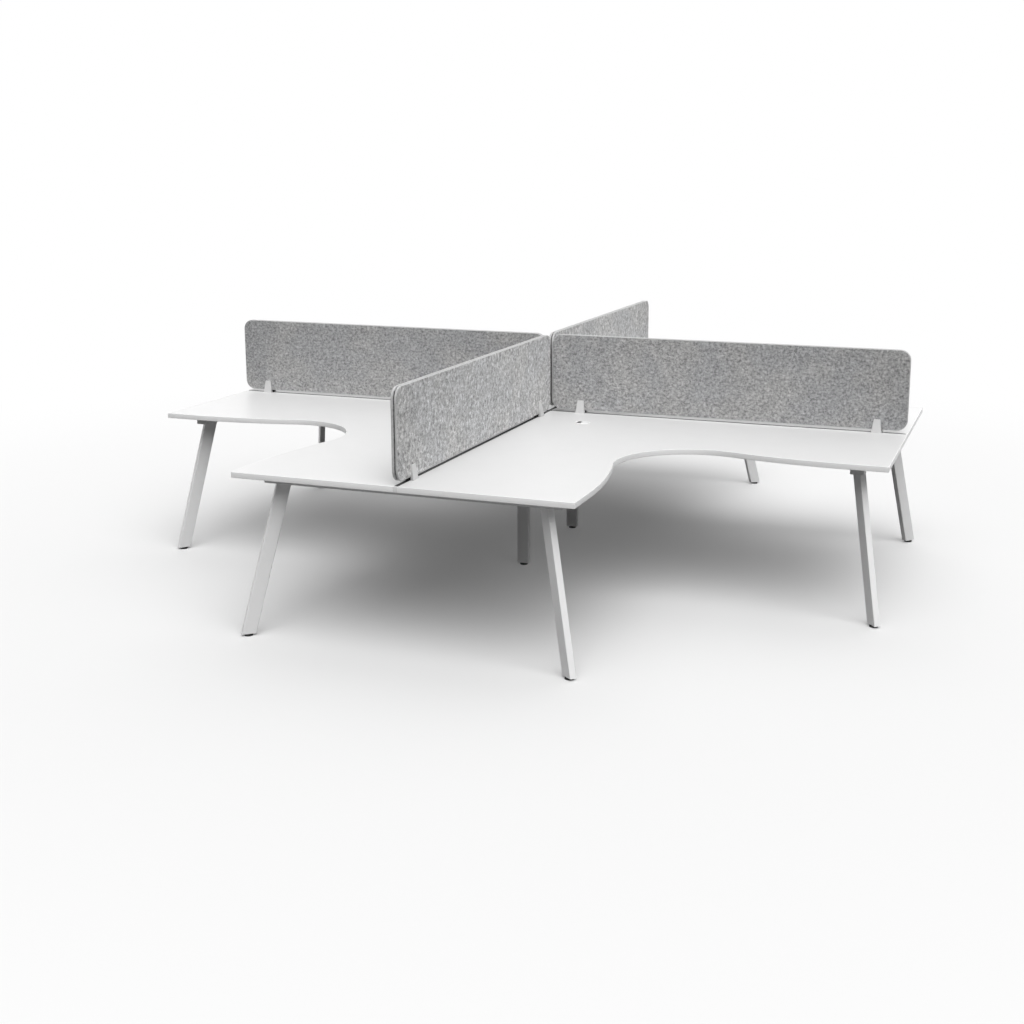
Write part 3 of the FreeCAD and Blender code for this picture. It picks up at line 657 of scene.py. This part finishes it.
def clamp_plates():
    """All sixteen clamp plates: the softened edge of a plate of unit depth carried round the outline,
    its faces closed on the plate's middle, and the depth then scaled by a line that falls from the foot
    to the tip."""
    soft = CLAMP_EDGE_RADIUS / CLAMP_FOOT_DEPTH
    edge = rounded_arris(1.0, soft, steps=4, support=soft * 0.3)
    rings = np.stack([clamp_outline(inset * CLAMP_FOOT_DEPTH) for inset in edge[:, 0]])
    depth = edge[:, 1]
    middle = np.zeros((1, rings.shape[1], 2)) + [0.0, CLAMP_HEIGHT / 2]
    rings = np.concatenate([middle, rings, middle])
    depth = np.concatenate([depth[:1], depth, depth[-1:]])[:, None]
    fall = (CLAMP_TIP_DEPTH - CLAMP_FOOT_DEPTH) * rings[..., 1] / CLAMP_HEIGHT
    depth = depth * (CLAMP_FOOT_DEPTH + fall)
    plates = []
    for place in (CLAMP_INNER_PLACE, RAIL_LINE):
        for side in (1, -1):
            y = side * (SCREEN_HALF_THICKNESS + depth)
            plate = np.stack([place + rings[..., 0], y, TOP_HEIGHT + rings[..., 1]], axis=-1)
            plates += four_turns(plate)
    make_piece("screen_clamps", *join_grids(plates), "white_clamp", replaced=["clamp_plates"])


# Welds


def leg_section(grow):
    """Level section of a splayed leg, grown by an amount: a rectangle with round corners, lengthened by
    the lean."""
    half_width = LEG_WIDTH / 2 / math.cos(LEG_SPLAY_ANGLE) + grow
    half = np.array([half_width, LEG_DEPTH / 2 + grow])
    return round_rectangle(half, TUBE_CORNER_RADIUS + grow, corner_points=8, side_points=(24, 10))


def weld_bead(centre, turn):
    """Bead of weld round a leg's upper end: a quarter round carried round the leg's section, with
    ripples, and turned about z."""
    angle = np.linspace(0, RIGHT_ANGLE, 6)
    leg = leg_section(0.0)
    ripple = np.sin(np.arange(len(leg)) * FULL_TURN / WELD_RIPPLE_POINTS)[:, None]
    ripple = 1 + WELD_RIPPLE * ripple
    rings = []
    for grow, drop in zip(WELD_RADIUS * np.cos(angle), WELD_RADIUS * np.sin(angle)):
        section = leg + (leg_section(grow) - leg) * ripple
        rings.append(np.concatenate([section, -drop * ripple], axis=-1))
    rings.append(np.concatenate([leg_section(-WELD_OVERLAP), 0 * ripple], axis=-1))
    x, y, z = np.moveaxis(np.stack(rings), -1, 0)
    c, s = math.cos(turn), math.sin(turn)
    return np.stack([x * c - y * s, x * s + y * c, z], axis=-1) + centre


def all_welds():
    """A bead under each end rail for both of its legs, and under the long spine for the two middle
    legs."""
    beads = []
    for side in (1, -1):
        splayed = (RAIL_LINE, side * LEG_SPACING / 2, RAIL_UNDERSIDE)
        upright = (0.0, side * CENTRE_LEG_SPACING / 2, RAIL_UNDERSIDE)
        beads += four_turns(weld_bead(splayed, side * (RIGHT_ANGLE - LEG_TURN_ANGLE)))
        beads.append(weld_bead(upright, 0.0))
    make_piece("leg_welds", *join_grids(beads, closed_rows=True), "white_steel")


# Bolts and screws


def socket_screw(shank_radius, shank_length, head_radius, head_height, socket):
    """A button-head screw along z with its seat at zero: the shank below, and above it a head of section
    (r, z) that is a quarter of an ellipse, cut by a socket whose rings follow a hexagon's radius
    a / cos(angle from the middle of the nearest side)."""
    columns = 48
    angle = np.linspace(0, FULL_TURN, columns, endpoint=False)
    half_side = math.pi / 6
    hexagon = socket / np.cos((angle + half_side) % (2 * half_side) - half_side)
    circle = np.ones(columns)
    crown = head_radius * 0.62
    bevel = shank_radius * 0.2
    rows = [(0.0 * circle, -shank_length), ((shank_radius - bevel) * circle, -shank_length),
            (shank_radius * circle, -shank_length + bevel), (shank_radius * circle, -0.0001),
            (shank_radius * circle, 0.0), (head_radius * 0.97 * circle, 0.0)]
    for rise in np.linspace(0, RIGHT_ANGLE, 7):
        radius = crown + (head_radius - crown) * math.cos(rise)
        rows.append((radius * circle, head_height * (0.25 + 0.75 * math.sin(rise))))
    rows += [(hexagon * 1.06, head_height), (hexagon, head_height * 0.95),
             (hexagon, head_height * 0.45), (hexagon * 0.94, head_height * 0.42),
             (0.0 * circle, head_height * 0.36)]
    radius = np.stack([row[0] for row in rows])
    height = np.array([row[1] for row in rows])[:, None] + 0 * angle
    return np.stack([radius * np.cos(angle), radius * np.sin(angle), height], axis=-1)


def frame_bolts():
    """Two bolts through each end rail into the spine, heads outwards, and the two studs through the long
    spine."""
    bolt = socket_screw(FRAME_BOLT_RADIUS, RAIL_WIDTH + SPINE_PLUG_LENGTH, FRAME_BOLT_HEAD_RADIUS,
                        FRAME_BOLT_HEAD_HEIGHT, FRAME_BOLT_SOCKET)[..., Z_ALONG_X]
    reach = RAIL_WIDTH / 2 + SPINE_PLUG_LENGTH
    section = softened([(0.0, -reach), (FRAME_BOLT_RADIUS, -reach), (FRAME_BOLT_RADIUS, reach),
                        (0.0, reach)], FRAME_STUD_EDGE_RADIUS)
    stud = turned_section(section, 24)[..., Z_ALONG_X]
    grids = []
    for side in (1, -1):
        across = side * FRAME_BOLT_SPACING / 2
        grids += four_turns(bolt + (RAIL_LINE + RAIL_WIDTH / 2, across, RAIL_MIDDLE))
        grids.append(stud + (0.0, across, RAIL_MIDDLE))
    make_piece("rail_bolts", *join_grids(grids), "bare_steel", replaced=["frame_bolts"])


def tab_screws():
    """A screw up through the middle of each fixing tab into the top, heads downwards."""
    screw = socket_screw(TAB_SCREW_RADIUS, TAB_THICKNESS + TAB_SCREW_DEPTH, TAB_SCREW_HEAD_RADIUS,
                         TAB_SCREW_HEAD_HEIGHT, TAB_SCREW_SOCKET) * (1, -1, -1)
    seat = TOP_UNDERSIDE - TAB_THICKNESS
    rail_tab = RAIL_LINE - RAIL_WIDTH / 2 - TAB_REACH / 2
    grids = []
    for side in (1, -1):
        across = side * (RAIL_WIDTH / 2 + TAB_REACH / 2)
        places = [(share * RAIL_LINE, across, seat) for share in SPINE_TAB_SHARES]
        places.append((rail_tab, side * RAIL_TAB_SHARE * RAIL_LENGTH / 2, seat))
        grids += [turned(screw + place, quarters) for quarters in range(4) for place in places]
    make_piece("tab_screws", *join_grids(grids), "bare_steel", replaced=["top_screws"])


# Levelling feet


def levelling_feet():
    """A foot under each leg: a rounded base and a ribbed collar, both carried round the axis, where the
    ribs take a small cosine off the collar's radius, and a stud whose radius falls by a helical cosine
    of height and angle, which is its thread."""
    columns = 96
    angle = np.linspace(0, FULL_TURN, columns, endpoint=False)[None]
    base = softened([(0.0, 0.0), (FOOT_RADIUS, 0.0), (FOOT_RADIUS, FOOT_BASE_HEIGHT),
                     (0.0, FOOT_BASE_HEIGHT)], FOOT_BASE_SOFTNESS)
    seat = FOOT_BASE_HEIGHT - FOOT_OVERLAP
    collar = softened([(0.0, seat), (FOOT_COLLAR_RADIUS, seat), (FOOT_COLLAR_RADIUS, FOOT_HEIGHT),
                       (0.0, FOOT_HEIGHT)], FOOT_COLLAR_SOFTNESS)
    base, collar = turned_section(base, columns), turned_section(collar, columns)
    collar[..., :2] *= (1 - COLLAR_RIB_DEPTH * (1 + np.cos(COLLAR_RIBS * angle)))[..., None]
    angle = angle[:, ::3]
    height = np.linspace(FOOT_HEIGHT - FOOT_OVERLAP, STUD_TOP, 210)[:, None]
    helix = FULL_TURN * height / THREAD_PITCH - angle
    radius = STUD_RADIUS - THREAD_DEPTH / 2 * (1 + np.cos(helix))
    bevel = np.clip(height - STUD_TOP + STUD_BEVEL, 0.0, None)
    radius = np.minimum(radius, STUD_RADIUS - bevel)
    stud = np.stack([radius * np.cos(angle), radius * np.sin(angle), height + 0 * angle], axis=-1)
    start, end = (stud[row:row + 1] * (0, 0, 1) for row in (0, len(stud) - 1))
    stud = np.concatenate([start, stud, end])
    for name in NODES:
        if name.startswith("foot_") and name != "foot_inserts":
            low, high = (np.array(corner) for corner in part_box(name))
            middle = np.array([*(low[:2] + high[:2]) / 2, 0.0])
            foot = join_grids([grid + middle for grid in (base, collar, stud)])
            make_piece(f"levelling_{name}", *foot, "black_plastic", body=name, replaced=[name])


# Cable grommets


def grommet_sleeves():
    """The four sleeves: one closed section of rim, bore, ledge and wall, carried round the grommet's
    axis."""
    ledge_top = GROMMET_RIM_HEIGHT - CAP_THICKNESS
    ledge_low = ledge_top - CAP_SKIRT_DEPTH
    section = softened([
        (GROMMET_HOLE_RADIUS, 0.0), (GROMMET_FLANGE_RADIUS, 0.0),
        (GROMMET_FLANGE_RADIUS, GROMMET_RIM_HEIGHT), (GROMMET_BORE_RADIUS, GROMMET_RIM_HEIGHT),
        (GROMMET_BORE_RADIUS, ledge_top), (GROMMET_EYE_RADIUS, ledge_top),
        (GROMMET_EYE_RADIUS, ledge_low), (GROMMET_BORE_RADIUS, ledge_low),
        (GROMMET_BORE_RADIUS, -GROMMET_DEPTH), (GROMMET_HOLE_RADIUS, -GROMMET_DEPTH),
    ], SLEEVE_SOFTNESS)
    sleeve = turned_section(section, 96) + (GROMMET_PLACE, GROMMET_PLACE, TOP_HEIGHT)
    sleeves = join_grids(four_turns(sleeve), closed_rows=True)
    make_piece("grommet_rims", *sleeves, "white_plastic", replaced=["grommet_sleeves"])


def open_ring(radius, count):
    """The arc of a disc's outline outside the cable notch in its -y side."""
    mouth = math.asin(CAP_NOTCH_HALF / radius)
    return arc((0.0, 0.0), radius, mouth - RIGHT_ANGLE, 3 * RIGHT_ANGLE - mouth, count)


def cap_outline(radius, depth):
    """A disc's outline with the cable notch: one arc that starts and ends at the notch's mouth, and the
    notch's straight sides with rounded inner corners."""
    corner = (-CAP_NOTCH_HALF + CAP_NOTCH_RADIUS, depth - CAP_NOTCH_RADIUS)
    left = arc(corner, CAP_NOTCH_RADIUS, math.pi, RIGHT_ANGLE, count=9)
    right = left[::-1] * [-1, 1]
    return np.concatenate([open_ring(radius, 90), left, right])


def grommet_caps():
    """The four caps: a disc with its notch and rounded edges, and the skirt below it, each a softened
    plate."""
    top = GROMMET_RIM_HEIGHT
    low = top - CAP_THICKNESS
    outline = cap_outline(CAP_RADIUS, -CAP_RADIUS + CAP_NOTCH_DEPTH)
    disc = softened_plate(outline, low, top, CAP_EDGE_RADIUS)
    inner = open_ring(CAP_SKIRT_RADIUS - CAP_SKIRT_WALL, 80)
    wall = np.concatenate([open_ring(CAP_SKIRT_RADIUS, 80), inner[::-1]])
    skirt = softened_plate(wall, low - CAP_SKIRT_DEPTH, low + CAP_SKIRT_OVERLAP, CAP_SKIRT_EDGE_RADIUS)
    place = (GROMMET_PLACE, GROMMET_PLACE, TOP_HEIGHT)
    for quarter, quarters in QUARTER_TURNS.items():
        cap = join_grids([turned(grid + place, quarters) for grid in (disc, skirt)], flat_ends=True)
        name = f"grommet_cap_{quarter}"
        make_piece(f"notched_cap_{quarter}", *cap, "white_plastic", body=name, replaced=[name])


def gap_caps():
    """The block in the outer end of each gap: a plate of its own outline with softened edges."""
    start, side = TOP_END - GAP_CAP_LENGTH, BACK_EDGE
    outline = softened([(start, -side), (TOP_END, -side), (TOP_END, side), (start, side)],
                       GAP_CAP_EDGE_RADIUS)
    block = softened_plate(outline, TOP_UNDERSIDE, TOP_HEIGHT, GAP_CAP_EDGE_RADIUS)
    blocks = join_grids(four_turns(block), flat_ends=True)
    make_piece("gap_blocks", *blocks, "white_plastic", replaced=["gap_end_caps"])


# Stage, light and camera

FLOOR_HALF = 60.0
FLOOR_WHITENESS = 0.81
FLOOR_BOUNCE = 0.09           # share of the light that the floor gives back to the desk
FLOOR_GLOW = 0.09             # share of plain white in the floor that the camera sees near the desk
FLOOR_NEAR = 2.6              # distance from the middle at which the floor starts to fade to plain white
FLOOR_FAR = 6.0               # distance at which it has faded
DOME_STRENGTH = 0.04
BACKDROP_STRENGTH = 1.0
# Each lamp: name, direction towards it, strength and spread in degrees
LAMPS = (
    ("front_light", (0.1, -1.0, 1.8), 1.02, 60.0),
    ("key_light", (0.62, -0.76, 1.3), 1.96, 60.0),
    ("right_light", (1.0, -0.1, 0.55), 0.22, 60.0),
    ("left_light", (-1.0, -0.2, 0.45), 0.2, 90.0),
    ("back_light", (0.0, 1.0, 0.7), 0.8, 90.0),
    ("high_light", (0.0, 0.5, 0.87), 0.52, 60.0),
)
CAMERA_PLACE = (2.412858, -6.646068, 2.0185)
CAMERA_YAW = -0.3552
CAMERA_PITCH = 0.2025
CAMERA_FOCUS = 1383.43        # in pixels of a picture that is PICTURE wide
CAMERA_CENTRE = (540.0, 440.0)
CAMERA_SENSOR = 36.0
CAMERA_REACH = 200.0
PICTURE = 1024.0


def new_shader(tree, kind, **values):
    """A shader node of a kind, with values on its own sockets."""
    node = tree.nodes.new(kind)
    for name, value in values.items():
        node.inputs[name].default_value = value
    return node


def seen_or_not(tree, seen, unseen):
    """One shader for what the camera sees, directly or mirrored, and another for the light that
    bounces."""
    path = tree.nodes.new("ShaderNodeLightPath")
    share = path.outputs["Is Camera Ray"]
    for ray in ("Is Glossy Ray", "Is Transmission Ray"):
        either = tree.nodes.new("ShaderNodeMath")
        either.operation = "MAXIMUM"
        tree.links.new(share, either.inputs[0])
        tree.links.new(path.outputs[ray], either.inputs[1])
        share = either.outputs["Value"]
    mix = tree.nodes.new("ShaderNodeMixShader")
    for socket, value in zip(mix.inputs, (share, unseen, seen)):
        tree.links.new(value, socket)
    return mix.outputs[0]


def make_floor():
    """Plain pale floor that keeps the shadow of the desk, a little lifted, and fades to white far from
    it, smoothly with the distance from the middle."""
    mesh = bpy.data.meshes.new("floor")
    corners = [(x * FLOOR_HALF, y * FLOOR_HALF, 0) for x, y in ((-1, -1), (1, -1), (1, 1), (-1, 1))]
    mesh.from_pydata(corners, [], [(0, 1, 2, 3)])
    floor = bpy.data.objects.new("floor", mesh)
    bpy.context.scene.collection.objects.link(floor)
    material = bpy.data.materials.new("floor_white")
    material.use_nodes = True
    tree = material.node_tree
    tree.nodes.remove(tree.nodes["Principled BSDF"])
    place = tree.nodes.new("ShaderNodeTexCoord")
    distance = tree.nodes.new("ShaderNodeVectorMath")
    distance.operation = "LENGTH"
    tree.links.new(place.outputs["Object"], distance.inputs[0])
    fade = tree.nodes.new("ShaderNodeMapRange")
    fade.interpolation_type = "SMOOTHSTEP"
    ends = {"From Min": FLOOR_NEAR, "From Max": FLOOR_FAR, "To Min": FLOOR_GLOW, "To Max": 1.0}
    for name, value in ends.items():
        fade.inputs[name].default_value = value
    tree.links.new(distance.outputs["Value"], fade.inputs["Value"])
    pale = new_shader(tree, "ShaderNodeBsdfDiffuse", Color=rgba(FLOOR_WHITENESS))
    glow = new_shader(tree, "ShaderNodeEmission", Color=rgba(1.0))
    bounce = new_shader(tree, "ShaderNodeBsdfDiffuse", Color=rgba(FLOOR_BOUNCE))
    glowing = tree.nodes.new("ShaderNodeMixShader")
    for socket, value in zip(glowing.inputs, (fade.outputs["Result"], pale.outputs[0], glow.outputs[0])):
        tree.links.new(value, socket)
    surface = tree.nodes["Material Output"].inputs["Surface"]
    tree.links.new(seen_or_not(tree, glowing.outputs[0], bounce.outputs[0]), surface)
    mesh.materials.append(material)


def make_light():
    """Faint dome light that shows as white behind the desk, and soft lamps on all four sides of it and
    above."""
    world = bpy.data.worlds.new("studio")
    bpy.context.scene.world = world
    world.use_nodes = True
    tree = world.node_tree
    dome = tree.nodes["Background"]
    dome.inputs["Color"].default_value = rgba(1.0)
    dome.inputs["Strength"].default_value = DOME_STRENGTH
    backdrop = new_shader(tree, "ShaderNodeBackground", Color=rgba(1.0), Strength=BACKDROP_STRENGTH)
    surface = tree.nodes["World Output"].inputs["Surface"]
    tree.links.new(seen_or_not(tree, backdrop.outputs[0], dome.outputs[0]), surface)
    for name, towards, strength, spread in LAMPS:
        lamp = bpy.data.lights.new(name, "SUN")
        lamp.energy = strength
        lamp.angle = math.radians(spread)
        holder = bpy.data.objects.new(name, lamp)
        holder.rotation_mode = "QUATERNION"
        holder.rotation_quaternion = Vector(towards).to_track_quat("Z", "Y")
        bpy.context.scene.collection.objects.link(holder)


def make_camera():
    """Camera at the photograph's place, with the small shift of its frame."""
    data = bpy.data.cameras.new("camera")
    data.sensor_width = CAMERA_SENSOR
    data.lens = CAMERA_FOCUS / PICTURE * CAMERA_SENSOR
    data.shift_x = (PICTURE / 2 - CAMERA_CENTRE[0]) / PICTURE
    data.shift_y = (CAMERA_CENTRE[1] - PICTURE / 2) / PICTURE
    data.clip_end = CAMERA_REACH
    level = math.cos(CAMERA_PITCH)
    forward = Vector((math.sin(CAMERA_YAW) * level, math.cos(CAMERA_YAW) * level,
                      -math.sin(CAMERA_PITCH)))
    right = Vector((math.cos(CAMERA_YAW), -math.sin(CAMERA_YAW), 0.0))
    up = right.cross(forward)
    turn = Matrix((right, up, -forward)).transposed().to_4x4()
    camera = bpy.data.objects.new("camera", data)
    camera.matrix_world = Matrix.Translation(CAMERA_PLACE) @ turn
    bpy.context.scene.collection.objects.link(camera)
    bpy.context.scene.camera = camera


screen_panels()
edge_strips()
clamp_plates()
all_welds()
frame_bolts()
tab_screws()
levelling_feet()
grommet_sleeves()
grommet_caps()
gap_caps()
make_floor()
make_light()
make_camera()
bpy.context.scene.view_settings.view_transform = "Standard"
